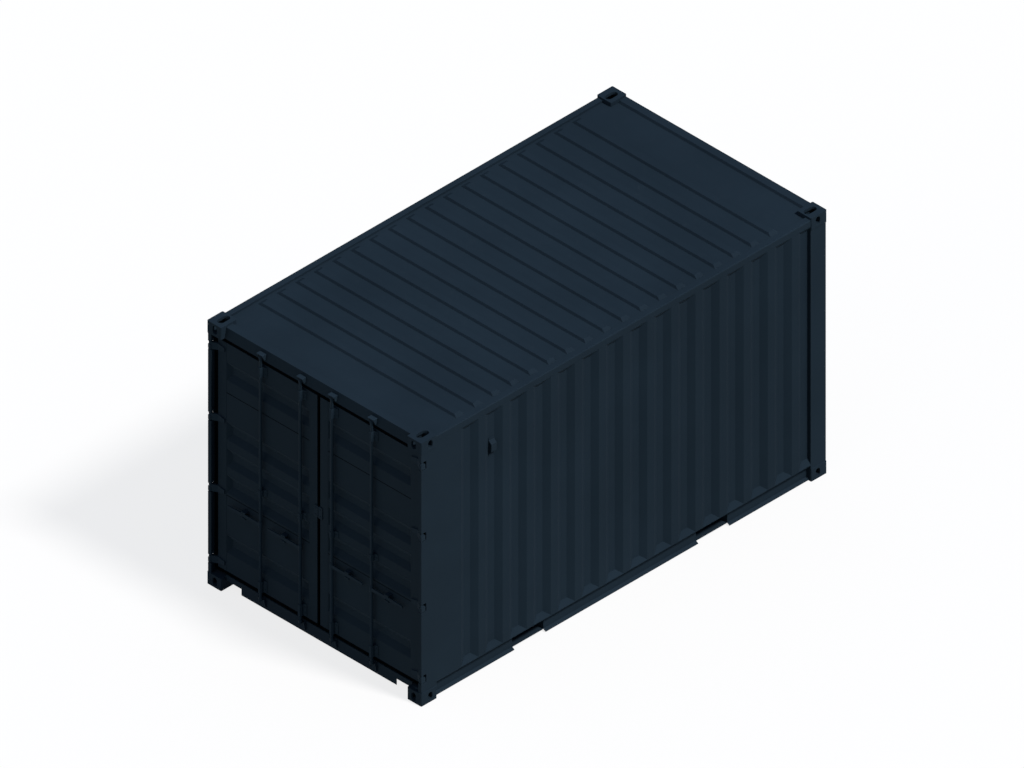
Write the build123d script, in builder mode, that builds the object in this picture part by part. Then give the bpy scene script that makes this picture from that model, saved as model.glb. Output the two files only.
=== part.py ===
"""Steel shipping container of the fifteen-foot class, with two end doors and four locking bars.

Millimetres. The origin is the bottom centre, +Z is up, X runs across the width and Y along
the length. The doors close the -Y end. Right-hand pieces are on +X and are mirrored to the left.
"""
import os
from math import ceil, hypot

from build123d import *

os.makedirs("parts", exist_ok=True)

# Outer box over the corner castings
length = 4610
width = 2438
height = 2591

# Corner castings, hollow blocks with a twist-lock slot and two lashing holes
casting_length = 178
casting_width = 162
casting_height = 118
casting_plate = 28
casting_wall = 20
casting_bevel = 6
slot_length = 124.5
slot_width = 63.5
slot_from_end = 101.5
slot_from_side = 89
lashing_hole_height = 79.5
lashing_hole_width = 51
lashing_hole_rise = 57

# Sheet metal: walls, roof and door skins
sheet = 2
skin_inset = 6
recess_depth = 34
recess_slope = 62
recess_floor = 70
recess_pitch = 274
recess_end_slope = 52
recess_margin = 4
first_recess = 462
front_wall_margin = 60
roof_drop = 40
ridge_rise = 20
ridge_slope = 13.5
ridge_top = 62
ridge_pitch = 210
ridge_end_slope = 38
ridge_from_side = 91
first_ridge = 490
last_ridge_margin = 300

# Rear corner posts: a rolled hook bar in front of a hollow section
hook_bar = 12
hook_reach = 36
post_wall = 6
post_face_depth = 113
post_width = 98

# End beams: the leaning door header, the folded door sill and the front rails
plate = 4
header_drop = 19
header_height = 106
header_face_high = 58
header_face_low = 45
header_back = 130
sill_face = 55
sill_clearance = 21
sill_top = 136
sill_upstand_depth = 105
sill_notch_width = 175
sill_notch_height = 61
front_header_width = 90
front_sill_width = 54
front_sill_clearance = 15

# Long rails
top_rail_size = 60
top_rail_drop = 19
top_rail_corner = 10
rail_flange = 48.5
rail_plate = 4.5
rail_top = 160.5
rail_web_bottom = 29
rail_lip_reach = 26
rail_lip_drop = 16

# Underframe and floor
floor_board = 28
floor_top = 165
floor_gap = 2
crossmember_width = 45
crossmember_height = 122
crossmember_plate = 4
crossmember_spacing = 300
pocket_width = 355
pocket_spacing = 2090
pocket_plate = 6
pocket_bottom = 20
pocket_strap_length = 220
weld_gap = 0.5

# Ventilator hoods, each on the floor of the second wall recess
vent_drop = 287
vent_base_width = 66
vent_base_height = 175
vent_base_plate = 4
vent_hood_width = 60
vent_hood_reach = 30
vent_hood_margin = 22
vent_hood_slope = 30

# Door leaves
door_setback = 52
door_depth = 50
door_head_gap = 43
door_foot_gap = 43
door_hinge_gap = 75
door_meeting_gap = 34
hinge_stile = 95
meeting_stile = 88
door_rail = 100
door_tube_wall = 4
door_skin_inset = 2
door_recess_height = 178
door_recess_slope = 57
door_recess_end_slope = 36
door_recess_margin = 4
door_recess_pitch = 261
door_recess_end = 274
gasket_inset = 4
gasket_thickness = 30
gasket_hinge_lip = 41
gasket_head_lip = 35
gasket_foot_lip = 36
gasket_meeting_lip = 11

# Hinges: pins in the hook bars, blades on the doors
hinge_count = 4
hinge_margin = 72
pin_inset = 20
pin_radius = 9
pin_clearance = 0.3
pin_tail = 10
notch_height = 80
notch_depth = 62
notch_reach = 45
lug_height = 24
knuckle_radius = 14
blade_height = 66
heel_height = 44
blade_tip_height = 36
blade_thickness = 12
blade_elbow = 84
blade_tip = 157

# Locking gear
bar_radius = 13.5
bar_depth = 22
inner_bar_share = 0.144
outer_bar_share = 0.545
bar_foot_drop = 18
bar_head_drop = 69
guide_base = 90
guide_foot = 6
guide_shoulder = 10
guide_body = 38
guide_nose = 22
guide_front = 4
guide_margin = 13
head_guide_height = 94
middle_guide_height = 63
foot_guide_height = 113
bearing_clearance = 0.4
cam_margin = 4
cam_height = 28
cam_collar = 16
cam_tongue = 16
cam_reach = 20
keeper_half_width = 28
keeper_cheek = 7
keeper_front = 8
keeper_open_front = 30
keeper_height = 52
keeper_cap = 11
keeper_gap = 6
foot_plate_height = 60
foot_plate_front = 42
foot_cheek_front = 24
handle_rise = 683
handle_gap = 91
handle_thickness = 12
handle_front = 8
handle_tall = 30
handle_tip_tall = 20
hub_wall = 3.2
hub_tall = 64
hub_clearance = 0.3
catch_share = 0.507
catch_width = 46
catch_gap = 5
catch_finger = 14
catch_base = 6
catch_front = 4
seal_plate_width = 44
seal_plate_drop = 14
seal_plate_height = 112
seal_plate_thickness = 8
seal_plate_gap = 6
overrun = 5

# Places worked out from the sizes above
right = width / 2
door_end = -length / 2
front_end = length / 2
post_bottom = casting_height
post_top = height - casting_height
skin_face = right - skin_inset
front_skin = front_end - skin_inset
beam_half = right - casting_width
wall_bottom = rail_top
rail_crown = height - top_rail_drop
top_rail_bottom = rail_crown - top_rail_size
rail_start = door_end + casting_length
rail_end = front_end - casting_length
rail_web_face = skin_face - rail_flange + rail_plate
rail_back = skin_face - rail_flange
roof_base = height - roof_drop
floor_bottom = floor_top - floor_board
header_top = height - header_drop
header_bottom = header_top - header_height
door_face = door_end + door_setback
door_back = door_face + door_depth
door_skin = door_face + door_skin_inset
door_bottom = sill_top + door_foot_gap
door_top = header_bottom - door_head_gap
door_middle = (door_bottom + door_top) / 2
leaf_hinge_edge = right - door_hinge_gap
leaf_meeting_edge = door_meeting_gap / 2
pin_place = (right - pin_inset, door_end + pin_inset)
pin_length = notch_height + 2 * (lug_height + pin_tail)
hinge_step = (door_top - door_bottom - 2 * hinge_margin) / (hinge_count - 1)
hinge_heights = [door_bottom + hinge_margin + i * hinge_step for i in range(hinge_count)]
bar_line = door_end + bar_depth
bar_top = height - bar_head_drop
bar_foot = sill_top - bar_foot_drop
bar_inner = leaf_meeting_edge + inner_bar_share * (leaf_hinge_edge - leaf_meeting_edge)
bar_outer = leaf_meeting_edge + outer_bar_share * (leaf_hinge_edge - leaf_meeting_edge)
bar_places = (("inner", bar_inner), ("outer", bar_outer))
handle_length = bar_outer - bar_inner - handle_gap
catch_offset = catch_share * handle_length


def keep(piece, name):
    """Labels one finished piece and writes it under the same name."""
    piece.part.label = name
    export_step(piece.part, f"parts/{name}.step")


def keep_pair(piece, name):
    """Writes a right-hand piece and its mirror image on the left."""
    keep(piece, f"{name}_right")
    with BuildPart() as twin:
        mirror(piece.part, about=Plane.YZ)
    keep(twin, f"{name}_left")


def corner(inward, along):
    """A plan point at the right rear corner: inward from the side, along from the door end."""
    return (right - inward, door_end + along)


def block(low, high, mode=Mode.ADD):
    """A rectangular block between two corners of the frame."""
    middle = tuple((a + b) / 2 for a, b in zip(low, high))
    with Locations(middle):
        Box(*[b - a for a, b in zip(low, high)], mode=mode)


def pressed(face, place, size, slopes, depth):
    """The skin and the hollow of one recess pressed back from a sheet's face."""
    grow = [sheet * (hypot(slope, depth) - slope) / depth for slope in slopes]
    solids = []
    for start, extra in ((sheet, grow), (0, (0, 0))):
        with BuildSketch(face.offset(start)) as mouth:
            with Locations(place):
                Rectangle(size[0] + 2 * extra[0], size[1] + 2 * extra[1])
        with BuildSketch(face.offset(start + depth)) as bottom:
            with Locations(place):
                Rectangle(size[0] - 2 * (slopes[0] - extra[0]), size[1] - 2 * (slopes[1] - extra[1]))
        solids.append(loft(sections=[mouth.sketch, bottom.sketch], mode=Mode.PRIVATE))
    return solids


# Corner castings: four standing on the ground, four carrying the lift
def casting_blank(slot_up):
    """One right rear casting, with its slot in the upper or the lower face."""
    base = height - casting_height if slot_up else 0
    hole_z = height - lashing_hole_rise if slot_up else lashing_hole_rise
    slot_z = base + casting_height if slot_up else base
    with BuildPart() as blank:
        block(
            (right - casting_width, door_end, base),
            (right, door_end + casting_length, base + casting_height),
        )
        chamfer(blank.edges().filter_by(Axis.Z), casting_bevel)
        block(
            (right - casting_width + casting_wall, door_end + casting_wall, base + casting_plate),
            (
                right - casting_wall,
                door_end + casting_length - casting_wall,
                base + casting_height - casting_plate,
            ),
            mode=Mode.SUBTRACT,
        )
        with BuildSketch(Plane.XY.offset(slot_z)):
            with Locations(corner(slot_from_side, slot_from_end)):
                SlotOverall(slot_length, slot_width, rotation=90)
        extrude(amount=casting_plate, both=True, mode=Mode.SUBTRACT)
        with BuildSketch(Plane.YZ.offset(right)):
            with Locations((door_end + slot_from_end, hole_z)):
                SlotOverall(lashing_hole_height, lashing_hole_width, rotation=90)
        extrude(amount=casting_wall + overrun, both=True, mode=Mode.SUBTRACT)
        with BuildSketch(Plane.XZ.offset(-door_end)):
            with Locations((right - slot_from_side, hole_z)):
                SlotOverall(lashing_hole_height, lashing_hole_width, rotation=90)
        extrude(amount=casting_wall + overrun, both=True, mode=Mode.SUBTRACT)
    return blank.part


for level, slot_up in (("bottom", False), ("top", True)):
    first_casting = casting_blank(slot_up)
    with BuildPart() as castings:
        add(first_casting)
        mirror(about=Plane.YZ)
        mirror(about=Plane.XZ)
    keep(castings, f"{level}_castings")

# Rear posts: the hook bar shields the hinge pins, and the hollow section backs the door
with BuildPart() as rear_post:
    with BuildSketch(Plane.XY.offset(post_bottom)):
        with BuildLine():
            Polyline(
                corner(skin_inset, skin_inset),
                corner(skin_inset + hook_reach, skin_inset),
                corner(skin_inset + hook_reach, skin_inset + hook_bar),
                corner(skin_inset + hook_bar, skin_inset + hook_bar),
                corner(skin_inset + hook_bar, post_face_depth),
                corner(skin_inset + post_width, post_face_depth),
                corner(skin_inset + post_width, casting_length),
                corner(skin_inset, casting_length),
                close=True,
            )
        make_face()
        with BuildLine():
            Polyline(
                corner(skin_inset + post_wall, post_face_depth + post_wall),
                corner(skin_inset + post_width - post_wall, post_face_depth + post_wall),
                corner(skin_inset + post_width - post_wall, casting_length - post_wall),
                corner(skin_inset + post_wall, casting_length - post_wall),
                close=True,
            )
        make_face(mode=Mode.SUBTRACT)
    extrude(amount=post_top - post_bottom)
    for hinge in hinge_heights:
        low = hinge - notch_height / 2
        high = hinge + notch_height / 2
        block(
            (right - notch_reach, door_end, low),
            (right, door_end + notch_depth, high),
            mode=Mode.SUBTRACT,
        )
        for lug in (low - lug_height, high):
            block(
                (*corner(pin_inset + knuckle_radius, skin_inset + hook_bar), lug),
                (*corner(skin_inset + hook_bar, pin_inset + knuckle_radius), lug + lug_height),
            )
        with BuildSketch(Plane.XY.offset(hinge - pin_length / 2)):
            with Locations(pin_place):
                Circle(pin_radius + pin_clearance)
        extrude(amount=pin_length, mode=Mode.SUBTRACT)
keep_pair(rear_post, "rear_post")

# Hinge pins, each through the two lugs and standing out above and below them
with BuildPart() as hinge_pins:
    for hinge in hinge_heights:
        with BuildSketch(Plane.XY.offset(hinge - pin_length / 2)):
            with Locations(pin_place):
                Circle(pin_radius)
        extrude(amount=pin_length)
    mirror(about=Plane.YZ)
keep(hinge_pins, "hinge_pins")

# Front posts: closed box sections as wide as the castings
with BuildPart() as front_post:
    block((beam_half, rail_end, post_bottom), (skin_face, front_skin, post_top))
    block(
        (beam_half + post_wall, rail_end + post_wall, post_bottom),
        (skin_face - post_wall, front_skin - post_wall, post_top),
        mode=Mode.SUBTRACT,
    )
keep_pair(front_post, "front_post")


def header_face(level):
    """How far the leaning header face stands behind the door end at one height."""
    lean = (header_face_high - header_face_low) / header_height
    return header_face_low + lean * (level - header_bottom)


def cross_beam(name, outside, inside):
    """A hollow beam across one end, from the outline of its section and that of the hollow."""
    with BuildPart() as beam:
        with BuildSketch(Plane.YZ.offset(-beam_half)):
            with BuildLine():
                Polyline(*outside, close=True)
            make_face()
            with BuildLine():
                Polyline(*inside, close=True)
            make_face(mode=Mode.SUBTRACT)
        extrude(amount=2 * beam_half)
    keep(beam, name)


# Door header: a hollow beam with a face that leans back over the doors
cross_beam(
    "door_header",
    (
        (door_end + header_face_low, header_bottom),
        (door_end + header_face_high, header_top),
        (door_end + header_back, header_top),
        (door_end + header_back, header_bottom),
    ),
    (
        (door_end + header_face(header_bottom + plate) + plate, header_bottom + plate),
        (door_end + header_face(header_top - plate) + plate, header_top - plate),
        (door_end + header_back - plate, header_top - plate),
        (door_end + header_back - plate, header_bottom + plate),
    ),
)

# Door sill: a plate folded up behind the doors, cut away underneath beside the castings
with BuildPart() as door_sill:
    with BuildSketch(Plane.YZ.offset(-beam_half)):
        with BuildLine():
            Polyline(
                (door_end + sill_face, sill_clearance),
                (door_end + sill_face, sill_top),
                (door_end + sill_upstand_depth, sill_top),
                (door_end + sill_upstand_depth, floor_top),
                (door_end + header_back, floor_top),
                (door_end + header_back, sill_clearance + sill_notch_height),
                (door_end + header_back - plate, sill_clearance + sill_notch_height),
                (door_end + header_back - plate, floor_top - plate),
                (door_end + sill_upstand_depth + plate, floor_top - plate),
                (door_end + sill_upstand_depth + plate, sill_top - plate),
                (door_end + sill_face + plate, sill_top - plate),
                (door_end + sill_face + plate, sill_clearance),
                close=True,
            )
        make_face()
    extrude(amount=2 * beam_half)
    post_inner = skin_face - post_width
    for near, far in ((-beam_half, sill_notch_width - beam_half), (beam_half - sill_notch_width, beam_half)):
        block(
            (near, door_end, 0),
            (far, door_end + casting_length, sill_clearance + sill_notch_height),
            mode=Mode.SUBTRACT,
        )
    for end_plate in (-beam_half, beam_half - plate):
        block(
            (end_plate, door_end + sill_face, sill_clearance + sill_notch_height),
            (end_plate + plate, door_end + header_back, sill_top),
        )
    for near, far in ((-post_inner, -beam_half), (beam_half, post_inner)):
        block(
            (near, door_end + sill_upstand_depth, casting_height),
            (far, door_end + header_back, floor_top),
        )
keep(door_sill, "door_sill")

# Front header: a box beam that slopes down to the roof like the side of a ridge
roof_end = front_skin - front_header_width
header_lean = ridge_slope / (rail_crown - roof_base)
cross_beam(
    "front_header",
    (
        (roof_end, top_rail_bottom),
        (roof_end, roof_base),
        (roof_end + ridge_slope, rail_crown),
        (front_skin, rail_crown),
        (front_skin, top_rail_bottom),
    ),
    (
        (roof_end + plate, top_rail_bottom + plate),
        (roof_end + plate, roof_base),
        (roof_end + ridge_slope + plate * (1 - header_lean), rail_crown - plate),
        (front_skin - plate, rail_crown - plate),
        (front_skin - plate, top_rail_bottom + plate),
    ),
)

# Front sill: a box beam between the bottom castings
front_sill_back = front_skin - front_sill_width
cross_beam(
    "front_sill",
    (
        (front_sill_back, front_sill_clearance),
        (front_sill_back, rail_top),
        (front_skin, rail_top),
        (front_skin, front_sill_clearance),
    ),
    (
        (front_sill_back + plate, front_sill_clearance + plate),
        (front_sill_back + plate, rail_top - plate),
        (front_skin - plate, rail_top - plate),
        (front_skin - plate, front_sill_clearance + plate),
    ),
)

# Top rails: square tubes between the castings, rounded along the outer top edge
with BuildPart() as top_rail:
    with BuildSketch(Plane.XZ.offset(-rail_start)) as rail_section:
        with Locations((skin_face - top_rail_size / 2, top_rail_bottom + top_rail_size / 2)):
            Rectangle(top_rail_size, top_rail_size)
            Rectangle(top_rail_size - 2 * plate, top_rail_size - 2 * plate, mode=Mode.SUBTRACT)
        outer_top = rail_section.vertices().sort_by_distance((skin_face, rail_crown))[0]
        fillet(outer_top, top_rail_corner)
    extrude(amount=rail_start - rail_end)
keep_pair(top_rail, "top_rail")

# Bottom rails: angles that carry the walls and run through above the fork pockets
skirt_top = floor_bottom - pocket_plate
with BuildPart() as bottom_rail:
    with BuildSketch(Plane.XZ.offset(-rail_start)):
        with BuildLine():
            Polyline(
                (skin_face, rail_top),
                (skin_face, rail_top - rail_plate),
                (rail_web_face, rail_top - rail_plate),
                (rail_web_face, skirt_top + weld_gap),
                (rail_back, skirt_top + weld_gap),
                (rail_back, rail_top),
                close=True,
            )
        make_face()
    extrude(amount=rail_start - rail_end)
keep_pair(bottom_rail, "bottom_rail")

# Rail skirts: plates with an outward lip, welded under each angle between the fork pockets
lip_tip = rail_web_face + rail_lip_reach
pocket_centres = (-pocket_spacing / 2, pocket_spacing / 2)
pocket_sides = [centre + half for centre in pocket_centres for half in (-pocket_width / 2, pocket_width / 2)]
skirt_ends = [rail_start, *pocket_sides, rail_end]
with BuildPart() as rail_skirts:
    for start, stop in zip(skirt_ends[::2], skirt_ends[1::2]):
        with BuildSketch(Plane.XZ.offset(-start)):
            with BuildLine():
                Polyline(
                    (rail_back, skirt_top),
                    (rail_web_face, skirt_top),
                    (rail_web_face, rail_web_bottom),
                    (lip_tip, rail_web_bottom - rail_lip_drop),
                    (lip_tip, rail_web_bottom - rail_lip_drop - rail_plate),
                    (rail_back, rail_web_bottom - rail_plate),
                    close=True,
                )
            make_face()
        extrude(amount=start - stop)
keep_pair(rail_skirts, "rail_skirts")

# Side walls: one pressed sheet each, the last recess running into the front post
side_face = Plane(origin=(skin_face, 0, 0), x_dir=(0, -1, 0), z_dir=(-1, 0, 0))
recess_width = recess_floor + 2 * recess_slope
wall_middle = (wall_bottom + top_rail_bottom) / 2
wall_recess_height = top_rail_bottom - wall_bottom - 2 * recess_margin
side_recess_count = ceil((length - casting_length - first_recess) / recess_pitch)
recess_start = door_end + first_recess + recess_width / 2
recess_places = [recess_start + i * recess_pitch for i in range(side_recess_count)]
side_pressings = [
    pressed(
        side_face,
        (-place, wall_middle),
        (recess_width, wall_recess_height),
        (recess_slope, recess_end_slope),
        recess_depth,
    )
    for place in recess_places
]
with BuildPart() as side_wall:
    block((skin_face - sheet, rail_start, wall_bottom), (skin_face, rail_end, top_rail_bottom))
    add([skin for skin, hollow in side_pressings])
    add([hollow for skin, hollow in side_pressings], mode=Mode.SUBTRACT)
    block(
        (skin_face - recess_depth - 2 * sheet, rail_end, wall_bottom),
        (right, rail_end + 2 * recess_width, top_rail_bottom),
        mode=Mode.SUBTRACT,
    )
keep_pair(side_wall, "side_wall")

# Front wall: the same pressing, centred between the front posts
front_face = Plane(origin=(0, front_skin, 0), x_dir=(1, 0, 0), z_dir=(0, -1, 0))
front_recess_count = int((2 * beam_half - 2 * front_wall_margin) / recess_pitch)
front_recess_start = -(front_recess_count - 1) / 2 * recess_pitch
front_pressings = [
    pressed(
        front_face,
        (front_recess_start + i * recess_pitch, wall_middle),
        (recess_width, wall_recess_height),
        (recess_slope, recess_end_slope),
        recess_depth,
    )
    for i in range(front_recess_count)
]
with BuildPart() as front_wall:
    block(
        (-beam_half, front_skin - sheet, wall_bottom),
        (beam_half, front_skin, top_rail_bottom),
    )
    add([skin for skin, hollow in front_pressings])
    add([hollow for skin, hollow in front_pressings], mode=Mode.SUBTRACT)
keep(front_wall, "front_wall")

# Roof: a sheet below the rail tops, with cross ridges pressed up from it
roof_half = skin_face - top_rail_size
roof_under = Plane.XY.offset(roof_base - sheet)
ridge_width = ridge_top + 2 * ridge_slope
ridge_run = roof_end - last_ridge_margin - ridge_width - (door_end + first_ridge)
ridge_count = int(ridge_run / ridge_pitch) + 1
roof_pressings = [
    pressed(
        roof_under,
        (0, door_end + first_ridge + ridge_width / 2 + i * ridge_pitch),
        (width - 2 * ridge_from_side, ridge_width),
        (ridge_end_slope, ridge_slope),
        ridge_rise,
    )
    for i in range(ridge_count)
]
with BuildPart() as roof:
    block((-roof_half, rail_start, roof_base - sheet), (roof_half, rail_end, roof_base))
    add([skin for skin, hollow in roof_pressings])
    add([hollow for skin, hollow in roof_pressings], mode=Mode.SUBTRACT)
keep(roof, "roof")

# Roof end plates: flat strips between the castings, from the roof to the two headers
with BuildPart() as roof_end_plates:
    block((-beam_half, door_end + header_back, roof_base - sheet), (beam_half, rail_start, roof_base))
    block((-beam_half, rail_end, roof_base - sheet), (beam_half, roof_end, roof_base))
keep(roof_end_plates, "roof_end_plates")

# Floor boards on channel crossmembers, cut round the posts
with BuildPart() as floor:
    block(
        (-rail_back + floor_gap, door_end + header_back + floor_gap, floor_bottom),
        (rail_back - floor_gap, front_sill_back - floor_gap, floor_top),
    )
    post_corners = (
        (post_inner, door_end, rail_start + floor_gap),
        (beam_half, rail_end - floor_gap, front_end),
    )
    for inner, start, stop in post_corners:
        for near, far in ((-right, floor_gap - inner), (inner - floor_gap, right)):
            block((near, start, floor_bottom), (far, stop, floor_top), mode=Mode.SUBTRACT)
keep(floor, "floor")

member_count = int((rail_end - rail_start) / crossmember_spacing)
member_step = (rail_end - rail_start) / member_count
pocket_clear = pocket_width / 2 + pocket_plate + crossmember_width
with BuildPart() as crossmembers:
    for i in range(1, member_count):
        place = rail_start + i * member_step
        if all(abs(place - centre) > pocket_clear for centre in pocket_centres):
            low = floor_bottom - crossmember_height
            back = place - crossmember_width / 2
            block((-rail_back, back, low), (rail_back, back + crossmember_width, floor_bottom))
            block(
                (-rail_back, back + crossmember_plate, low + crossmember_plate),
                (rail_back, back + crossmember_width, floor_bottom - crossmember_plate),
                mode=Mode.SUBTRACT,
            )
keep(crossmembers, "crossmembers")

# Fork pockets: a roof plate and two side plates under the floor, with straps below at both mouths
for pocket_name, centre in zip(("rear", "front"), pocket_centres):
    near_side = centre - pocket_width / 2
    far_side = centre + pocket_width / 2
    with BuildPart() as fork_pocket:
        block(
            (-rail_back, near_side - pocket_plate, skirt_top),
            (rail_back, far_side + pocket_plate, floor_bottom),
        )
        for side_plate in (near_side - pocket_plate, far_side):
            block(
                (-rail_back, side_plate, pocket_bottom),
                (rail_back, side_plate + pocket_plate, skirt_top - weld_gap),
            )
        for strap in (-rail_back, rail_back - pocket_strap_length):
            block(
                (strap, near_side + weld_gap, pocket_bottom),
                (strap + pocket_strap_length, far_side - weld_gap, pocket_bottom + pocket_plate),
            )
    keep(fork_pocket, f"fork_pocket_{pocket_name}")

# Ventilator hoods: a base plate on the recess floor and a folded cover, open below
vent_place = recess_places[1]
vent_seat = skin_face - recess_depth
vent_face = vent_seat + vent_base_plate
vent_front = vent_face + vent_hood_reach
vent_top = top_rail_bottom - vent_drop
vent_bottom = vent_top - vent_base_height
hood_top = vent_top - vent_hood_margin
hood_bottom = vent_bottom + vent_hood_margin
with BuildPart() as vent:
    block(
        (vent_seat, vent_place - vent_base_width / 2, vent_bottom),
        (vent_face, vent_place + vent_base_width / 2, vent_top),
    )
    with BuildSketch(Plane.XZ.offset(-vent_place)):
        with BuildLine():
            Polyline(
                (vent_face, hood_bottom),
                (vent_front, hood_bottom + vent_hood_slope),
                (vent_front, hood_top - vent_hood_slope),
                (vent_face, hood_top),
                close=True,
            )
        make_face()
    extrude(amount=vent_hood_width / 2, both=True)
    with BuildSketch(Plane.XZ.offset(-vent_place)):
        with BuildLine():
            Polyline(
                (vent_face, hood_bottom - overrun),
                (vent_front - sheet, hood_bottom),
                (vent_front - sheet, hood_top - vent_hood_slope - sheet),
                (vent_face, hood_top - vent_hood_margin / 2),
                close=True,
            )
        make_face()
    extrude(amount=vent_hood_width / 2 - sheet, both=True, mode=Mode.SUBTRACT)
keep_pair(vent, "vent")

# Cam keepers: two cheeks under a cap on the header, and two cheeks over a plate on the sill, all open
# to the front where the cams leave. Each slab has its lower and upper ends and its front at both
head_top = bar_top + keeper_gap + keeper_cap
head_bottom = head_top - keeper_height
foot_bottom = bar_foot - keeper_gap - foot_plate_height
keeper_width = 2 * (keeper_half_width + keeper_cheek)
keeper_levels = (
    (
        "top",
        header_face,
        (head_bottom, head_top, keeper_open_front, keeper_front),
        (head_top - keeper_cap, head_top, keeper_front, keeper_front),
    ),
    (
        "bottom",
        lambda level: sill_face,
        (foot_bottom, sill_top, foot_plate_front, foot_cheek_front),
        (foot_bottom, foot_bottom + foot_plate_height, foot_plate_front, foot_plate_front),
    ),
)
for level_name, face_depth, cheek, plate in keeper_levels:
    with BuildPart() as keepers:
        for bar_name, bar in bar_places:
            near_cheek = bar - keeper_half_width - keeper_cheek
            slabs = (
                (near_cheek, keeper_cheek, cheek),
                (bar + keeper_half_width, keeper_cheek, cheek),
                (near_cheek, keeper_width, plate),
            )
            for start, across, (low, high, low_front, high_front) in slabs:
                with BuildSketch(Plane.YZ.offset(start)):
                    with BuildLine():
                        Polyline(
                            (door_end + low_front, low),
                            (door_end + high_front, high),
                            (door_end + face_depth(high), high),
                            (door_end + face_depth(low), low),
                            close=True,
                        )
                    make_face()
                extrude(amount=across)
        mirror(about=Plane.YZ)
    keep(keepers, f"cam_keepers_{level_name}")

# Door frames: hollow stiles at both edges, hollow rails behind the skin
skin_low = leaf_meeting_edge + meeting_stile
skin_high = leaf_hinge_edge - hinge_stile
skin_back = door_skin + sheet
frame_members = (
    ((leaf_meeting_edge, door_face, door_bottom), (skin_low, door_back, door_top)),
    ((skin_high, door_face, door_bottom), (leaf_hinge_edge, door_back, door_top)),
    ((skin_low, skin_back, door_bottom), (skin_high, door_back, door_bottom + door_rail)),
    ((skin_low, skin_back, door_top - door_rail), (skin_high, door_back, door_top)),
)
with BuildPart() as door_frame:
    for low, high in frame_members:
        block(low, high)
    for low, high in frame_members:
        block([a + door_tube_wall for a in low], [b - door_tube_wall for b in high], mode=Mode.SUBTRACT)
keep_pair(door_frame, "door_frame")

# Door skins: pressed sheets between the stiles, a little behind their faces
leaf_face = Plane(origin=(0, door_skin, 0), x_dir=(-1, 0, 0), z_dir=(0, 1, 0))
skin_middle = (skin_low + skin_high) / 2
end_recess = (door_top - door_bottom) / 2 - door_recess_end
door_pressings = [
    pressed(
        leaf_face,
        (-skin_middle, door_middle + offset),
        (skin_high - skin_low - 2 * door_recess_margin, door_recess_height),
        (door_recess_end_slope, door_recess_slope),
        recess_depth,
    )
    for offset in (-end_recess, -door_recess_pitch, 0, door_recess_pitch, end_recess)
]
with BuildPart() as door_panel:
    block((skin_low, door_skin, door_bottom), (skin_high, skin_back, door_top))
    add([skin for skin, hollow in door_pressings])
    add([hollow for skin, hollow in door_pressings], mode=Mode.SUBTRACT)
keep_pair(door_panel, "door_panel")

# Rubber gaskets: a lip standing out all round each leaf
gasket_front = door_face + gasket_inset
with BuildPart() as door_gasket:
    block(
        (leaf_meeting_edge - gasket_meeting_lip, gasket_front, door_bottom - gasket_foot_lip),
        (leaf_hinge_edge + gasket_hinge_lip, gasket_front + gasket_thickness, door_top + gasket_head_lip),
    )
    block(
        (leaf_meeting_edge, gasket_front, door_bottom),
        (leaf_hinge_edge, gasket_front + gasket_thickness, door_top),
        mode=Mode.SUBTRACT,
    )
keep_pair(door_gasket, "door_gasket")

# Hinge blades: a knuckle on each pin with a heel that fills the notch, an elbow and a tapered strap
strap_front = door_setback - blade_thickness
with BuildPart() as hinge_blades:
    for hinge in hinge_heights:
        with BuildSketch(Plane.XY.offset(hinge - blade_height / 2)):
            with BuildLine():
                Polyline(
                    corner(pin_inset, pin_inset - knuckle_radius),
                    corner(blade_elbow, strap_front),
                    corner(blade_elbow, door_setback),
                    corner(door_hinge_gap, door_setback),
                    corner(pin_inset, pin_inset + knuckle_radius),
                    close=True,
                )
            make_face()
            with Locations(pin_place):
                Circle(knuckle_radius)
        extrude(amount=blade_height)
        block(
            (*corner(pin_inset + knuckle_radius, skin_inset), hinge - blade_height / 2),
            (*corner(skin_inset, door_setback), hinge - blade_height / 2 + heel_height),
        )
        with BuildSketch(Plane.XY.offset(hinge - blade_height / 2)):
            with Locations(pin_place):
                Circle(pin_radius + pin_clearance)
        extrude(amount=blade_height, mode=Mode.SUBTRACT)
        with BuildSketch(Plane.XZ.offset(-door_face)):
            with BuildLine():
                Polyline(
                    (right - blade_elbow, hinge - blade_height / 2),
                    (right - blade_elbow, hinge + blade_height / 2),
                    (right - blade_tip, hinge + blade_tip_height / 2),
                    (right - blade_tip, hinge - blade_tip_height / 2),
                    close=True,
                )
            make_face()
        extrude(amount=blade_thickness)
keep_pair(hinge_blades, "hinge_blades")

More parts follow.
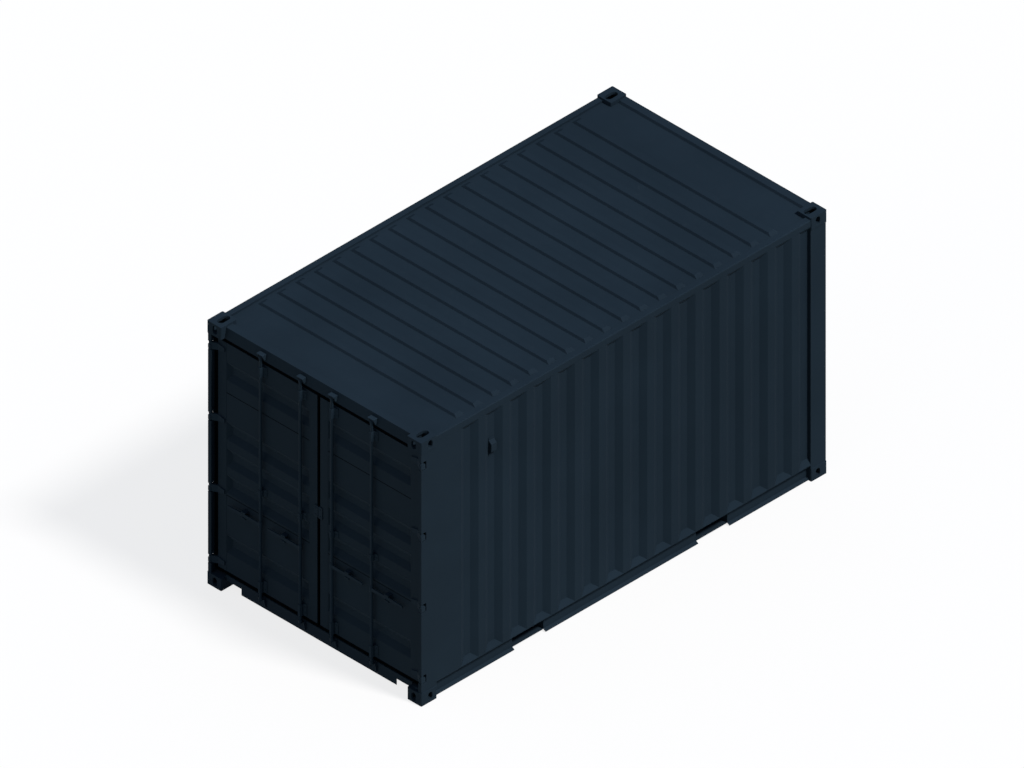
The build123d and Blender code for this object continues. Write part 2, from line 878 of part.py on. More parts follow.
# Door fittings: bar guides, handle catches and the seal plate at the meeting edge
handle_height = door_bottom + handle_rise
handle_low = handle_height - handle_tall / 2
handle_high = handle_height + handle_tall / 2
middle_guide = door_middle - door_recess_pitch / 2
guide_spans = (
    (door_bottom + guide_margin, door_bottom + guide_margin + foot_guide_height),
    (middle_guide - middle_guide_height / 2, middle_guide + middle_guide_height / 2),
    (door_top - guide_margin - head_guide_height, door_top - guide_margin),
)
guide_side = (
    (guide_base / 2, door_skin),
    (guide_base / 2, door_skin - guide_foot),
    (guide_body / 2, door_skin - guide_foot - guide_shoulder),
    (guide_body / 2, bar_line),
    (guide_nose / 2, door_end + guide_front),
)
with BuildPart() as door_fittings:
    for bar_name, bar in bar_places:
        for low, high in guide_spans:
            with BuildSketch(Plane.XY.offset(low)):
                with BuildLine():
                    Polyline(
                        *[(bar - out, depth) for out, depth in guide_side],
                        *[(bar + out, depth) for out, depth in reversed(guide_side)],
                        close=True,
                    )
                make_face()
                with Locations((bar, bar_line)):
                    Circle(bar_radius + bearing_clearance, mode=Mode.SUBTRACT)
            extrude(amount=high - low)
        catch_low = bar + catch_offset - catch_width / 2
        catch_high = bar + catch_offset + catch_width / 2
        block(
            (catch_low, door_end + catch_front, handle_low - catch_gap - catch_finger),
            (catch_high, door_skin, handle_high + catch_gap + catch_finger),
        )
        block(
            (catch_low, door_end + catch_front, handle_low - catch_gap),
            (catch_high, door_skin - catch_base, handle_high + catch_gap),
            mode=Mode.SUBTRACT,
        )
    seal_plate_bottom = door_middle - seal_plate_drop - seal_plate_height / 2
    block(
        (seal_plate_gap / 2, door_face - seal_plate_thickness, seal_plate_bottom),
        (seal_plate_gap / 2 + seal_plate_width, door_face, seal_plate_bottom + seal_plate_height),
    )
keep_pair(door_fittings, "door_fittings")

# Locking bars with a cam at each end, and a handle clamped round each bar
for bar_name, bar in bar_places:
    with BuildPart() as locking_bar:
        with BuildSketch(Plane.XY.offset(bar_foot)):
            with Locations((bar, bar_line)):
                Circle(bar_radius)
        extrude(amount=bar_top - bar_foot)
        for low in (bar_foot + cam_margin, bar_top - cam_margin - cam_height):
            with BuildSketch(Plane.XY.offset(low)):
                with Locations((bar, bar_line)):
                    Circle(cam_collar)
                with Locations((bar, bar_line + cam_reach / 2)):
                    Rectangle(cam_tongue, cam_reach)
            extrude(amount=cam_height)
    keep_pair(locking_bar, f"locking_bar_{bar_name}")

    with BuildPart() as lock_handle:
        with BuildSketch(Plane.XY.offset(handle_height - hub_tall / 2)):
            with Locations((bar, bar_line)):
                Circle(bar_radius + hub_clearance + hub_wall)
        extrude(amount=hub_tall)
        grip_start = bar + catch_offset + catch_width
        with BuildSketch(Plane.XZ.offset(-door_end - handle_front)):
            with BuildLine():
                Polyline(
                    (bar, handle_low),
                    (grip_start, handle_low),
                    (bar + handle_length, handle_height - handle_tip_tall / 2),
                    (bar + handle_length, handle_height + handle_tip_tall / 2),
                    (grip_start, handle_high),
                    (bar, handle_high),
                    close=True,
                )
            make_face()
        extrude(amount=-handle_thickness)
        with BuildSketch(Plane.XY.offset(handle_height - hub_tall / 2)):
            with Locations((bar, bar_line)):
                Circle(bar_radius + hub_clearance)
        extrude(amount=hub_tall, mode=Mode.SUBTRACT)
    keep_pair(lock_handle, f"lock_handle_{bar_name}")
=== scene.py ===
"""The looks of a dark blue steel shipping container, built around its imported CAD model."""
import math

import bmesh
import bpy
from mathutils import Matrix, Vector


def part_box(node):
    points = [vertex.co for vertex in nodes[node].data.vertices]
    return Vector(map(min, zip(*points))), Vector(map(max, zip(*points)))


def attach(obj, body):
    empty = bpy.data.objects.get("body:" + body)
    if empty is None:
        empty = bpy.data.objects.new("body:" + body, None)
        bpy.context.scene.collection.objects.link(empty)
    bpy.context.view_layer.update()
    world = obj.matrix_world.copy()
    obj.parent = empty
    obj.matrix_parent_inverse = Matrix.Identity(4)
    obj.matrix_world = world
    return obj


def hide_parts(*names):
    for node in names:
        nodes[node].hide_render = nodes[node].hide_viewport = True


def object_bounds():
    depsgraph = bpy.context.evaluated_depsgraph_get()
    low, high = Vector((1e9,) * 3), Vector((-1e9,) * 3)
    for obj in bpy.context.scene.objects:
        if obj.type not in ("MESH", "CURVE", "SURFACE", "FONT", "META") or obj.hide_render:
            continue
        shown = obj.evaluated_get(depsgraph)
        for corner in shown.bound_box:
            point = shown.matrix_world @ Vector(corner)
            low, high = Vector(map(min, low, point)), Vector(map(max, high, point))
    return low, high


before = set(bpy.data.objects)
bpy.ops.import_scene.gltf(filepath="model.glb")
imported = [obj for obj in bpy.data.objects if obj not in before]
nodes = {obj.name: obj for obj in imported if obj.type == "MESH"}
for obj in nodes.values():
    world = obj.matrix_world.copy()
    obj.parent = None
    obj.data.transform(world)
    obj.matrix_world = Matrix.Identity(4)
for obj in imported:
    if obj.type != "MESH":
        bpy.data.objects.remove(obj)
cad_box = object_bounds()

# Corner castings: cast steel blocks at the eight corners, with the slots that take twist locks.
# They are fettled smooth, welded to the posts and rails, and sprayed with the rest of the frame.
NAVY = (0.0137, 0.0243, 0.0362)
YARD_DUST = (0.046, 0.058, 0.068)
PAINT_SPECULAR = 0.012
PAINT_BUMP = 0.10
PAINT_RELIEF = 0.004
CLOUD_SCALE = 1.3
CLOUD_SWING = 0.08
CLOUD_ROUGHNESS = 0.10
STREAK_SCALE = (14.0, 14.0, 0.5)
GRIT_SCALE = 90.0
GRIT_ROUGHNESS = 0.08
PEEL_SCALE = 420.0
PEEL_SHARE = 0.35
WAVE_SCALE = 5.0
CASTING_EDGE = 0.004
CORNER_REACH = 0.00005
EDGE_ANGLE = 40
EDGE_STEPS = 2


class Field:
    """A value that changes over a surface: one socket, with arithmetic that adds nodes."""

    def __init__(self, tree, socket=None):
        self.tree = tree
        self.socket = socket

    def node(self, kind, settings, sockets, output=0):
        """Adds any node: its settings first, then the values or links of its sockets."""
        new = self.tree.nodes.new(kind)
        for key, value in settings.items():
            setattr(new, key, value)
        for key, value in sockets.items():
            if isinstance(value, Field):
                self.tree.links.new(value.socket, new.inputs[key])
            else:
                new.inputs[key].default_value = value
        return Field(self.tree, new.outputs[output])

    def maths(self, operation, first, second):
        """Adds the node that works out one operation, on vectors if this is one."""
        kind = "ShaderNodeVectorMath" if self.socket.type == "VECTOR" else "ShaderNodeMath"
        return self.node(kind, {"operation": operation}, {0: first, 1: second})

    def __add__(self, other):
        return self.maths("ADD", self, other)

    def __radd__(self, other):
        return self.maths("ADD", other, self)

    def __sub__(self, other):
        return self.maths("SUBTRACT", self, other)

    def __rsub__(self, other):
        return self.maths("SUBTRACT", other, self)

    def __mul__(self, other):
        return self.maths("MULTIPLY", self, other)

    def __rmul__(self, other):
        return self.maths("MULTIPLY", other, self)

    def between(self, low, high):
        """This value stretched so that low gives 0 and high gives 1, and held there outside."""
        smooth = {"interpolation_type": "SMOOTHSTEP"}
        return self.node("ShaderNodeMapRange", smooth, {0: self, 1: low, 2: high})

    def colours(self, low, high):
        """A colour that goes from low to high as this value goes from 0 to 1."""
        pair = [c if isinstance(c, Field) else (*c, 1.0) for c in (low, high)]
        return self.node("ShaderNodeMix", {"data_type": "RGBA"}, {0: self, 6: pair[0], 7: pair[1]}, 2)

    def noise(self, scale, detail=4.0, rough=0.55):
        """Cloudy values over this place, scale of them to the metre."""
        sockets = {"Vector": self, "Scale": scale, "Detail": detail, "Roughness": rough}
        return self.node("ShaderNodeTexNoise", {}, sockets)

    def bump(self, strength, distance):
        """A normal tilted by this value as a height."""
        return self.node("ShaderNodeBump", {}, {"Strength": strength, "Distance": distance, "Height": self})


def surface(name, specular):
    """A new finish: the material, a linker into its shader and the place on the object."""
    material = bpy.data.materials.new(name)
    material.use_nodes = True
    tree = material.node_tree
    shader = tree.nodes["Principled BSDF"]
    shader.inputs["Specular IOR Level"].default_value = specular
    place = Field(tree).node("ShaderNodeTexCoord", {}, {}, "Object")

    def feed(**fields):
        for key, field in fields.items():
            tree.links.new(field.socket, shader.inputs[key.replace("_", " ")])

    return material, feed, place


def shade(colour, share):
    """A colour made darker or lighter."""
    return tuple(c * share for c in colour)


def painted_steel(name, colour, satin, dust=0.10):
    """Sprayed satin paint: faint clouds of shade, orange peel, rain streaks and some dust."""
    material, feed, place = surface(name, PAINT_SPECULAR)
    clouds = place.noise(CLOUD_SCALE, detail=5.0)
    streaks = (place * STREAK_SCALE).noise(scale=1.0, detail=6.0).between(low=0.50, high=0.80)
    grit = place.noise(GRIT_SCALE, detail=3.0).between(low=0.45, high=0.75)
    darker, lighter = shade(colour, 1 - CLOUD_SWING), shade(colour, 1 + CLOUD_SWING)
    fresh = clouds.between(low=0.25, high=0.75).colours(darker, lighter)
    worn = (streaks * grit * dust).colours(fresh, YARD_DUST)
    height = place.noise(PEEL_SCALE, detail=2.0) * PEEL_SHARE + place.noise(WAVE_SCALE, detail=2.0)
    rough = satin + clouds * CLOUD_ROUGHNESS + grit * GRIT_ROUGHNESS
    feed(Base_Color=worn, Roughness=rough, Normal=height.bump(PAINT_BUMP, PAINT_RELIEF))
    return material


def finish_node(name, material, edge=0.0):
    """Gives a CAD node its finish and, where asked, softly rounded edges."""
    piece = nodes[name]
    for holder in piece.material_slots:
        holder.material = material
    if edge:
        weld = piece.modifiers.new("joined_corners", "WELD")
        weld.merge_threshold = CORNER_REACH
        bevel = piece.modifiers.new("soft_edges", "BEVEL")
        bevel.width = edge
        bevel.segments = EDGE_STEPS
        bevel.limit_method = "ANGLE"
        bevel.angle_limit = math.radians(EDGE_ANGLE)
        bevel.harden_normals = True


casting_paint = painted_steel("casting_paint", NAVY, satin=0.46)
for level in ("bottom", "top"):
    finish_node(f"{level}_castings", casting_paint, CASTING_EDGE)

# Rails, posts and end beams: rolled and folded steel plate, welded to the castings into one frame.
# Everything was blasted and sprayed together, so all of it has the same satin coat.
RAIL_EDGE = 0.001
TOP_RAIL_EDGE = 0.0025
SIDES = {"left": -1, "right": 1}
frame_paint = painted_steel("frame_paint", NAVY, satin=0.44)
for side in SIDES:
    for member in ("rear_post", "front_post"):
        finish_node(f"{member}_{side}", frame_paint)
    finish_node(f"top_rail_{side}", frame_paint, TOP_RAIL_EDGE)
    for member in ("bottom_rail", "rail_skirts"):
        finish_node(f"{member}_{side}", frame_paint, RAIL_EDGE)
for member in ("door_header", "door_sill", "front_header", "front_sill"):
    finish_node(member, frame_paint, RAIL_EDGE)

# Weld runs: fillets of weld metal in the step between each casting and its post.
# They are laid by hand in short ripples, and are painted over with the frame.
WELD_SIZE = 0.0045
WELD_RIPPLE = 0.007
WELD_SIDES = 8
WELD_NECK = 0.85
HOOK_WIDTH = 0.036


def new_piece(name, body, material, solids):
    """Joins closed solids, each its points and faces, into one named piece that rides on a body."""
    shape = bmesh.new()
    for points, faces in solids:
        corners = [shape.verts.new(point) for point in points]
        for face in faces:
            shape.faces.new([corners[i] for i in face])
    bmesh.ops.recalc_face_normals(shape, faces=shape.faces)
    mesh = bpy.data.meshes.new(name)
    shape.to_mesh(mesh)
    shape.free()
    mesh.materials.append(material)
    piece = bpy.data.objects.new(name, mesh)
    bpy.context.scene.collection.objects.link(piece)
    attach(piece, body)
    return piece


def skinned(rings):
    """A closed solid through equal rings of points, capped at both ends."""
    sides = len(rings[0])
    points = [point for ring in rings for point in ring]
    faces = [list(range(sides)), [len(points) - sides + k for k in range(sides)]]
    for start in range(0, len(points) - sides, sides):
        for k in range(sides):
            following = start + (k + 1) % sides
            faces.append([start + k, following, following + sides, start + k + sides])
    return points, faces


def round_ring(centre, axis, radius, sides):
    """Points on a circle about an axis."""
    across = axis.orthogonal().normalized()
    up = axis.cross(across)
    angles = [math.tau * k / sides for k in range(sides)]
    return [centre + radius * (math.cos(a) * across + math.sin(a) * up) for a in angles]


def weld_run(start, end):
    """A rippled run of weld between two points."""
    run = Vector(end) - Vector(start)
    axis = run.normalized()
    count = 2 * round(run.length / WELD_RIPPLE) + 1
    rings = []
    for i in range(count):
        swell = WELD_SIZE * (WELD_NECK if i % 2 else 1.0)
        rings.append(round_ring(Vector(start) + run * i / (count - 1), axis, swell, WELD_SIDES))
    return skinned(rings)


casting_welds = []
for side, sign in SIDES.items():
    for post, end in ((f"rear_post_{side}", -1), (f"front_post_{side}", 1)):
        low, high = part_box(post)
        outer = high.x if sign > 0 else low.x
        inner = low.x if sign > 0 else high.x
        face = low.y if end < 0 else high.y
        back = high.y if end < 0 else low.y
        across = outer - sign * (HOOK_WIDTH if end < 0 else abs(outer - inner))
        for level in (low.z, high.z):
            casting_welds.append(weld_run((outer, face, level), (outer, back, level)))
            casting_welds.append(weld_run((outer, face, level), (across, face, level)))
new_piece("casting_welds", "container", frame_paint, casting_welds)

# Underframe: channel crossmembers and the plate tunnels for forks, which take the most knocks.
# The same paint lies on them, with more dust thrown up from the yard.
under_paint = painted_steel("under_paint", NAVY, satin=0.55, dust=0.35)
for name in ("crossmembers", "fork_pocket_rear", "fork_pocket_front"):
    finish_node(name, under_paint)

# Walls and roof: thin sheet pressed into deep vertical recesses and low cross ridges.
# Each wall is several sheets welded edge to edge, stood on the rails and sprayed with the frame.
wall_paint = painted_steel("wall_paint", NAVY, satin=0.44)
roof_paint = painted_steel("roof_paint", NAVY, satin=0.48, dust=0.20)
for name in ("side_wall_left", "side_wall_right", "front_wall"):
    finish_node(name, wall_paint)
for name in ("roof", "roof_end_plates"):
    finish_node(name, roof_paint)

# Ventilators: folded covers over small holes high in the side walls, open below against rain.
# A domed rivet holds each corner of the base plate, and all of it is painted with the wall.
RIVET_RADIUS = 0.0042
RIVET_RISE = 0.0022
RIVET_INSET = (0.012, 0.010)
RIVET_SIDES = 12
RIVET_SHAPE = ((1.0, -0.3), (1.0, 0.15), (0.82, 0.62), (0.48, 0.92), (0.12, 1.0))
VENT_PLATE = 0.004


def turned(place, axis, sides, profile):
    """A small solid turned about an axis from pairs of radius and height."""
    out = Vector(axis).normalized()
    rings = [round_ring(Vector(place) + out * height, out, radius, sides) for radius, height in profile]
    return skinned(rings)


def dome_rivet(place, axis):
    """A rivet head: a low dome that sits in the paint."""
    profile = [(RIVET_RADIUS * radius, RIVET_RISE * height) for radius, height in RIVET_SHAPE]
    return turned(place, axis, RIVET_SIDES, profile)


for side, sign in SIDES.items():
    finish_node(f"vent_{side}", frame_paint)
    low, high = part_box(f"vent_{side}")
    face = (low.x if sign > 0 else high.x) + sign * VENT_PLATE
    rivets = []
    for y in (low.y + RIVET_INSET[0], high.y - RIVET_INSET[0]):
        for z in (low.z + RIVET_INSET[1], high.z - RIVET_INSET[1]):
            rivets.append(dome_rivet((face, y, z), (sign, 0, 0)))
    new_piece(f"vent_rivets_{side}", "container", frame_paint, rivets)

# Floor: thick hardwood plywood, laid two sheets wide on the crossmembers and worn by pallets.
# Countersunk screws in rows across the floor hold the wide sheets down.
SHEET_GAP = 0.003
SHEET_ROWS = 4
SHEET_BEVEL = 0.0015
SCREW_RADIUS = 0.0065
SCREW_ROWS = 13
SCREWS_ACROSS = 7
SCREW_MARGIN = 0.060
SCREW_SIDES = 10
SCREW_SHAPE = ((0.9, -0.003), (1.0, 0.0002), (0.92, 0.0005), (0.42, 0.0005), (0.30, -0.0012))
PALE_WOOD = (0.235, 0.118, 0.058)
DARK_WOOD = (0.105, 0.047, 0.022)
PORE_BROWN = (0.045, 0.022, 0.012)
PORE_SHARE = 0.55
SCUFF_GREY = (0.17, 0.14, 0.11)
SCUFF_SHARE = 0.45
GRAIN_SCALE = (38.0, 1.6, 8.0)
GRAIN_RISE = 0.6
PORE_SCALE = (260.0, 9.0, 60.0)
PORE_SINK = 0.5
WEAR_SCALE = 2.6
PLY_BUMP = 0.25
PLY_RELIEF = 0.002
TARNISH_BROWN = (0.10, 0.085, 0.075)
SCREW_GREY = (0.34, 0.33, 0.32)
TARNISH_SCALE = 60.0
floor_low, floor_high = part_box("floor")
rear_post_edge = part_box("rear_post_right")[0].x
front_post_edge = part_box("front_post_right")[0].x
rear_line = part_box("rear_post_right")[1].y
front_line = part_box("front_post_right")[0].y


def plywood():
    """Red hardwood ply: long grain, darker pores, scuffs across it and grey wear."""
    material, feed, place = surface("floor_plywood", specular=0.25)
    grain = (place * GRAIN_SCALE).noise(scale=1.0, detail=8.0, rough=0.62)
    pores = (place * PORE_SCALE).noise(scale=1.0, detail=3.0).between(low=0.55, high=0.72)
    wear = place.noise(WEAR_SCALE, detail=6.0).between(low=0.48, high=0.78)
    wood = grain.between(low=0.28, high=0.72).colours(DARK_WOOD, PALE_WOOD)
    pored = (pores * PORE_SHARE).colours(wood, PORE_BROWN)
    scuffed = (wear * SCUFF_SHARE).colours(pored, SCUFF_GREY)
    height = grain * GRAIN_RISE - pores * PORE_SINK
    feed(Base_Color=scuffed, Roughness=0.62 + grain * 0.2, Normal=height.bump(PLY_BUMP, PLY_RELIEF))
    return material


def chamfered_slab(low, high, chamfer):
    """A flat slab with its upper edges taken off at a slant."""
    rings = []
    for z, inset in ((low[2], 0.0), (high[2] - chamfer, 0.0), (high[2], chamfer)):
        x0, x1 = low[0] + inset, high[0] - inset
        y0, y1 = low[1] + inset, high[1] - inset
        rings.append([Vector((x0, y0, z)), Vector((x1, y0, z)), Vector((x1, y1, z)), Vector((x0, y1, z))])
    return skinned(rings)


def floor_sheets():
    """All sheets: a narrow one at each end between the posts, and the rows between them."""
    row = (front_line - rear_line) / SHEET_ROWS
    spans = [(floor_low.y, rear_line, rear_post_edge - SHEET_GAP)]
    spans += [(rear_line + i * row, rear_line + (i + 1) * row, floor_high.x) for i in range(SHEET_ROWS)]
    spans.append((front_line, floor_high.y, front_post_edge - SHEET_GAP))
    for start, stop, half in spans:
        for near, far in ((-half, -SHEET_GAP / 2), (SHEET_GAP / 2, half)):
            low = (near, start + SHEET_GAP / 2, floor_low.z)
            yield chamfered_slab(low, (far, stop - SHEET_GAP / 2, floor_high.z), SHEET_BEVEL)


sheets = new_piece("floor_sheets", "container", plywood(), floor_sheets())
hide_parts("floor")


def tarnished_steel(name):
    """Bare screw steel, browned in patches where it has begun to rust."""
    material, feed, place = surface(name, specular=0.5)
    tarnish = place.noise(TARNISH_SCALE, detail=4.0)
    feed(
        Base_Color=tarnish.colours(TARNISH_BROWN, SCREW_GREY),
        Roughness=0.35 + tarnish * 0.3,
        Metallic=1.0 - tarnish * 0.4,
    )
    return material


floor_screws = []
for row in range(SCREW_ROWS):
    y = rear_line + (row + 0.5) * (front_line - rear_line) / SCREW_ROWS
    for column in range(SCREWS_ACROSS):
        x = SCREW_MARGIN + column * (floor_high.x - 2 * SCREW_MARGIN) / (SCREWS_ACROSS - 1)
        for screw_x in (-x, x):
            profile = [(SCREW_RADIUS * share, height) for share, height in SCREW_SHAPE]
            floor_screws.append(turned((screw_x, y, floor_high.z), (0, 0, 1), SCREW_SIDES, profile))
screw_steel = tarnished_steel("screw_steel")
new_piece("floor_screws", "container", screw_steel, floor_screws)

# Door leaves: tube frames round pressed skins, painted with the container.
# Each skin is three sheets lapped one over the other, and each lap carries a near-black sealant bead, dark
# enough to stand in as painted shadow under the lap.
SEAM_SHARES = (0.3333, 0.7825)
SEAM_HALF = 0.0035
SEAM_RISE = 0.0018
SEAM_SINK = 0.0005
SEALANT_AND_SHADOW_BLACK = (0.0014, 0.0020, 0.0027)
RUBBER_SPECULAR = 0.004
BLOOM_SCALE = 7.0
BLOOM_SHARE = 0.4
BLOOM_PALENESS = 3.0
CRAZE_SCALE = 240.0
CRAZE_BUMP = 0.15
CRAZE_RELIEF = 0.001
DOOR_EDGE = 0.0015


def black_rubber(name, colour):
    """Weathered rubber or mastic: almost black, with dusty blooms and a fine crazed skin."""
    material, feed, place = surface(name, RUBBER_SPECULAR)
    bloom = place.noise(BLOOM_SCALE, detail=5.0).between(low=0.45, high=0.80)
    skin = place.noise(CRAZE_SCALE, detail=4.0)
    feed(
        Base_Color=(bloom * BLOOM_SHARE).colours(colour, shade(colour, BLOOM_PALENESS)),
        Roughness=0.62 + skin * 0.25,
        Normal=skin.bump(CRAZE_BUMP, CRAZE_RELIEF),
    )
    return material


# The sealant is near-black so that its bead is also painted shadow: the thin dark line that would fall
# under each lapped sheet.
seam_sealant_and_shadow = black_rubber("seam_sealant_and_shadow", SEALANT_AND_SHADOW_BLACK)
seam_bead = (
    (-SEAM_HALF, SEAM_SINK), (-SEAM_HALF / 2, -SEAM_RISE),
    (SEAM_HALF / 2, -SEAM_RISE), (SEAM_HALF, SEAM_SINK),
)
for side in SIDES:
    finish_node(f"door_frame_{side}", frame_paint, DOOR_EDGE)
    finish_node(f"door_panel_{side}", wall_paint)
    low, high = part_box(f"door_panel_{side}")
    seams = []
    for share in SEAM_SHARES:
        z = low.z + share * (high.z - low.z)
        ends = [[(x, low.y + out, z + up) for up, out in seam_bead] for x in (low.x, high.x)]
        seams.append(skinned(ends))
    new_piece(f"door_seams_{side}", f"{side}_door", seam_sealant_and_shadow, seams)

# Door gaskets: extruded rubber with two lips that press on the frame, fixed round each leaf.
# The lengths are mitred and vulcanised at the corners.
LIP_PROFILE = (
    (0.0, 0.06), (0.34, 0.00), (0.58, 0.12), (0.82, 0.02), (1.0, 0.10), (0.97, 0.26), (0.76, 0.32),
    (0.60, 0.50), (0.78, 0.74), (0.96, 0.86), (0.92, 1.0), (0.55, 0.96), (0.34, 0.88), (0.0, 0.94),
)
LEAF_CORNERS = ((1, 1), (0, 1), (0, 0), (1, 0))
RUBBER_BLACK = (0.0008, 0.0012, 0.0017)
gasket_rubber = black_rubber("gasket_rubber", RUBBER_BLACK)
for side in SIDES:
    lip_low, lip_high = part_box(f"door_gasket_{side}")
    leaf_low, leaf_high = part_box(f"door_frame_{side}")
    points = []
    for share, depth in LIP_PROFILE:
        y = lip_low.y + depth * (lip_high.y - lip_low.y)
        for far, top in LEAF_CORNERS:
            leaf = Vector((leaf_high.x if far else leaf_low.x, 0, leaf_high.z if top else leaf_low.z))
            lip = Vector((lip_high.x if far else lip_low.x, 0, lip_high.z if top else lip_low.z))
            spot = leaf.lerp(lip, share)
            points.append(Vector((spot.x, y, spot.z)))
    faces = []
    sides = len(LEAF_CORNERS)
    for start in range(0, len(points), sides):
        following = (start + sides) % len(points)
        for k in range(sides):
            turn = (k + 1) % sides
            faces.append([start + k, start + turn, following + turn, following + k])
    gasket = new_piece(f"gasket_{side}", f"{side}_door", gasket_rubber, [(points, faces)])
    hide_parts(f"door_gasket_{side}")

# Hinges: forged blades welded to the stiles, swinging on steel pins in the posts' lugs.
# Weld runs along the tapered straps hold them, and the pins are dull with grease and old paint.
PIN_GREY = (0.055, 0.075, 0.100)
STRAP_FACE = 0.052
STRAP_START = (0.086, 0.0325)
STRAP_END = (0.155, 0.0182)
BLADE_HALF = 0.033
HINGE_COUNT = 4
SCRATCH_SCALE = (6.0, 6.0, 300.0)
GREASE_SCALE = 35.0
GREASE_SHARE = 0.25
GREASE_BROWN = (0.020, 0.018, 0.014)
GEAR_NAVY = shade(NAVY, 1.12)


def greasy_steel(name):
    """Dull pin steel: turning scratches round it, brown where the grease has spread."""
    material, feed, place = surface(name, specular=0.02)
    scratches = (place * SCRATCH_SCALE).noise(scale=1.0, detail=4.0)
    grease = place.noise(GREASE_SCALE, detail=4.0).between(low=0.55, high=0.75)
    feed(
        Base_Color=(grease * GREASE_SHARE).colours(PIN_GREY, GREASE_BROWN),
        Roughness=0.40 + scratches * 0.22,
        Metallic=scratches * 0.2,
    )
    return material


gear_paint = painted_steel("gear_paint", GEAR_NAVY, satin=0.40)
finish_node("hinge_pins", greasy_steel("pin_steel"))
for side, sign in SIDES.items():
    finish_node(f"hinge_blades_{side}", gear_paint, DOOR_EDGE)
    low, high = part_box(f"hinge_blades_{side}")
    first = low.z + BLADE_HALF
    step = (high.z - low.z - 2 * BLADE_HALF) / (HINGE_COUNT - 1)
    outer = cad_box[1].x * sign
    face = cad_box[0].y + STRAP_FACE
    strap_welds = []
    for i in range(HINGE_COUNT):
        middle = first + i * step
        for up in (-1, 1):
            start, end = [
                (outer - sign * inset, face, middle + up * rise) for inset, rise in (STRAP_START, STRAP_END)
            ]
            strap_welds.append(weld_run(start, end))
    new_piece(f"hinge_welds_{side}", f"{side}_door", gear_paint, strap_welds)

# Locking gear: four round bars with cams at both ends, turned by flat handles.
# Guides bolted to the skins hold the bars, and catches beside them hold the handles shut.
BAR_LINES = ("inner", "outer")
for level in ("top", "bottom"):
    finish_node(f"cam_keepers_{level}", gear_paint, DOOR_EDGE)
for side in SIDES:
    finish_node(f"door_fittings_{side}", gear_paint, DOOR_EDGE)
    for line in BAR_LINES:
        finish_node(f"locking_bar_{line}_{side}", gear_paint, RAIL_EDGE)
        finish_node(f"lock_handle_{line}_{side}", gear_paint, RAIL_EDGE)

# Bolts: hexagon heads on washers, on the shoulders of the guides, in the catches and seal plates.
# They were painted over with the gear.
BOLT_SHAPE = ((1.0, -0.002), (1.0, 0.0032), (0.86, 0.0042))
WASHER_SHAPE = ((1.0, -0.003), (1.0, 0.0008), (0.94, 0.0012))
BOLT_RADIUS = 0.0068
WASHER_RADIUS = 0.0088
GUIDE_BOLT = (0.0320, 0.043)
GUIDE_SLANT = (10.0, -26.0)
FOOT_BOLT_RISES = (0.030, 0.083)
MIDDLE_BOLT_DROP = 0.1305
HEAD_BOLT_DROPS = (0.068, 0.026)
CATCH_BOLT = (0.0115, 0.048)
CATCH_SHARE = 0.507
SEAL_BOLT = (0.025, 0.044)
SEAL_BOLT_RISES = (-0.047, 0.019)
OUTWARD = (0.0, -1.0, 0.0)
BOLT_SIDES = 6
WASHER_SIDES = 16


def hex_bolt(place, axis):
    """A bolt head and the washer under it."""
    head = [(BOLT_RADIUS * share, height) for share, height in BOLT_SHAPE]
    washer = [(WASHER_RADIUS * share, height) for share, height in WASHER_SHAPE]
    return [turned(place, axis, BOLT_SIDES, head), turned(place, axis, WASHER_SIDES, washer)]


door_line = cad_box[0].y
for side, sign in SIDES.items():
    bolts = []
    low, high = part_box(f"door_fittings_{side}")
    middle = (low.z + high.z) / 2
    guide_heights = [low.z + rise for rise in FOOT_BOLT_RISES]
    guide_heights += [middle - MIDDLE_BOLT_DROP]
    guide_heights += [high.z - drop for drop in HEAD_BOLT_DROPS]
    for line in BAR_LINES:
        bar = sum(corner.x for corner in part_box(f"locking_bar_{line}_{side}")) / 2
        for height in guide_heights:
            for out in (-1, 1):
                spot = (bar + out * GUIDE_BOLT[0], door_line + GUIDE_BOLT[1], height)
                bolts += hex_bolt(spot, (out * GUIDE_SLANT[0], GUIDE_SLANT[1], 0.0))
        handle_low, handle_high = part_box(f"lock_handle_{line}_{side}")
        reach = (handle_high.x if sign > 0 else handle_low.x) - bar
        catch = bar + CATCH_SHARE * reach
        height = (handle_low.z + handle_high.z) / 2
        for out in (-1, 1):
            spot = (catch + out * CATCH_BOLT[0], door_line + CATCH_BOLT[1], height)
            bolts += hex_bolt(spot, OUTWARD)
    for rise in SEAL_BOLT_RISES:
        spot = (sign * SEAL_BOLT[0], door_line + SEAL_BOLT[1], middle + rise)
        bolts += hex_bolt(spot, OUTWARD)
    new_piece(f"door_bolts_{side}", f"{side}_door", gear_paint, bolts)

# Studio: a pale floor, a soft sky and two lamps, one high on the right for the roof and the long
# side and one broad and weak in front of the doors. The floor is mostly white and keeps a shadow.
FLOOR_HALF = 60.0
PAPER_WHITE = (0.95, 0.95, 0.95, 1.0)
PAPER_GLOW = 0.8
PURE_WHITE = (1.0, 1.0, 1.0, 1.0)
YARD_SAND = (0.22, 0.25, 0.20, 1.0)
SKY_BLUE = (0.72, 0.98, 1.42, 1.0)
SKY_LEVEL = 0.22
floor_corners = [(x * FLOOR_HALF, y * FLOOR_HALF, 0.0) for x, y in ((-1, -1), (1, -1), (1, 1), (-1, 1))]
floor_mesh = bpy.data.meshes.new("studio_floor")
floor_mesh.from_pydata(floor_corners, [], [(0, 1, 2, 3)])
studio_floor = bpy.data.objects.new("studio_floor", floor_mesh)
bpy.context.scene.collection.objects.link(studio_floor)
floor_finish = bpy.data.materials.new("studio_floor")
floor_finish.use_nodes = True
tree = floor_finish.node_tree
tree.nodes.remove(tree.nodes["Principled BSDF"])
seen = Field(tree).node("ShaderNodeLightPath", {}, {}, "Is Camera Ray")
for ray in ("Is Glossy Ray", "Is Transmission Ray"):
    seen = seen + seen.node("ShaderNodeLightPath", {}, {}, ray)
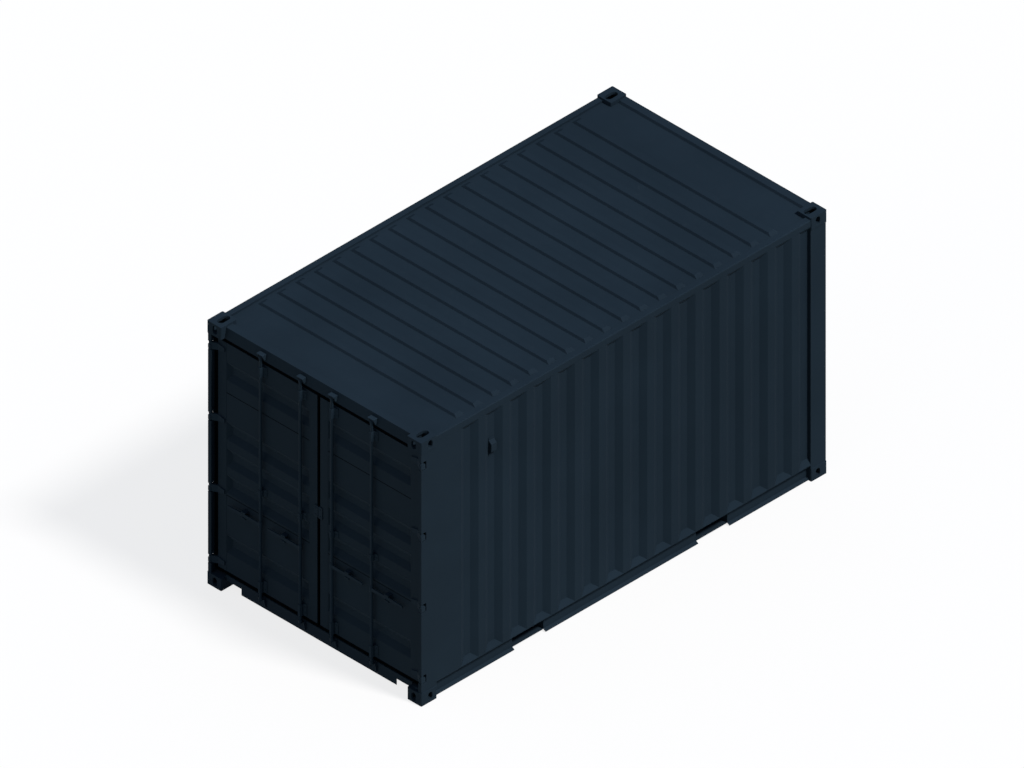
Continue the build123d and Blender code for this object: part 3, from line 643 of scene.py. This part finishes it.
pale = seen.node("ShaderNodeBsdfDiffuse", {}, {"Color": PAPER_WHITE})
white = seen.node("ShaderNodeEmission", {}, {"Color": PURE_WHITE, "Strength": 1.0})
paper = seen.node("ShaderNodeMixShader", {}, {0: PAPER_GLOW, 1: pale, 2: white})
sand = seen.node("ShaderNodeBsdfDiffuse", {}, {"Color": YARD_SAND})
shown = seen.node("ShaderNodeMixShader", {}, {0: seen, 1: sand, 2: paper})
tree.links.new(shown.socket, tree.nodes["Material Output"].inputs["Surface"])
floor_mesh.materials.append(floor_finish)

world = bpy.data.worlds.new("soft_sky")
world.use_nodes = True
sky = world.node_tree.nodes["Background"]
sky.inputs["Color"].default_value = SKY_BLUE
sky.inputs["Strength"].default_value = SKY_LEVEL
bpy.context.scene.world = world


def broad_lamp(name, towards, level, spread, tint):
    """A far soft lamp that shines from one direction, level being the share of full light."""
    lamp = bpy.data.lights.new(name, "SUN")
    lamp.energy = math.pi * level
    lamp.angle = math.radians(spread)
    lamp.color = tint
    holder = bpy.data.objects.new(name, lamp)
    holder.rotation_euler = Vector(towards).to_track_quat("Z", "Y").to_euler()
    bpy.context.scene.collection.objects.link(holder)


broad_lamp("right_lamp", towards=(0.57, 0.13, 0.811), level=0.98, spread=10, tint=(1.04, 1.0, 0.96))
broad_lamp("door_lamp", towards=(-0.04, -0.99, 0.10), level=0.15, spread=60, tint=(1.25, 1.0, 0.74))

# Camera: the picture is an isometric view without perspective, from above the right-hand door corner.
# The camera has the picture's scale and centre, the centre being metres to its right and up.
PICTURE_WIDTH = 1024
PIXELS_PER_METRE = 124.40
PICTURE_CENTRE = (-0.0394, 1.1576)
CAMERA_DISTANCE = 20.0
view_right = Vector((1, 1, 0)).normalized()
view_back = Vector((1, -1, 1)).normalized()
view_up = view_back.cross(view_right)
camera_data = bpy.data.cameras.new("picture_camera")
camera_data.type = "ORTHO"
camera_data.ortho_scale = PICTURE_WIDTH / PIXELS_PER_METRE
camera = bpy.data.objects.new("picture_camera", camera_data)
turn = Matrix((view_right, view_up, view_back)).transposed()
spot = view_right * PICTURE_CENTRE[0] + view_up * PICTURE_CENTRE[1] + view_back * CAMERA_DISTANCE
camera.matrix_world = Matrix.Translation(spot) @ turn.to_4x4()
bpy.context.scene.collection.objects.link(camera)
bpy.context.scene.camera = camera
bpy.context.scene.view_settings.view_transform = "Standard"
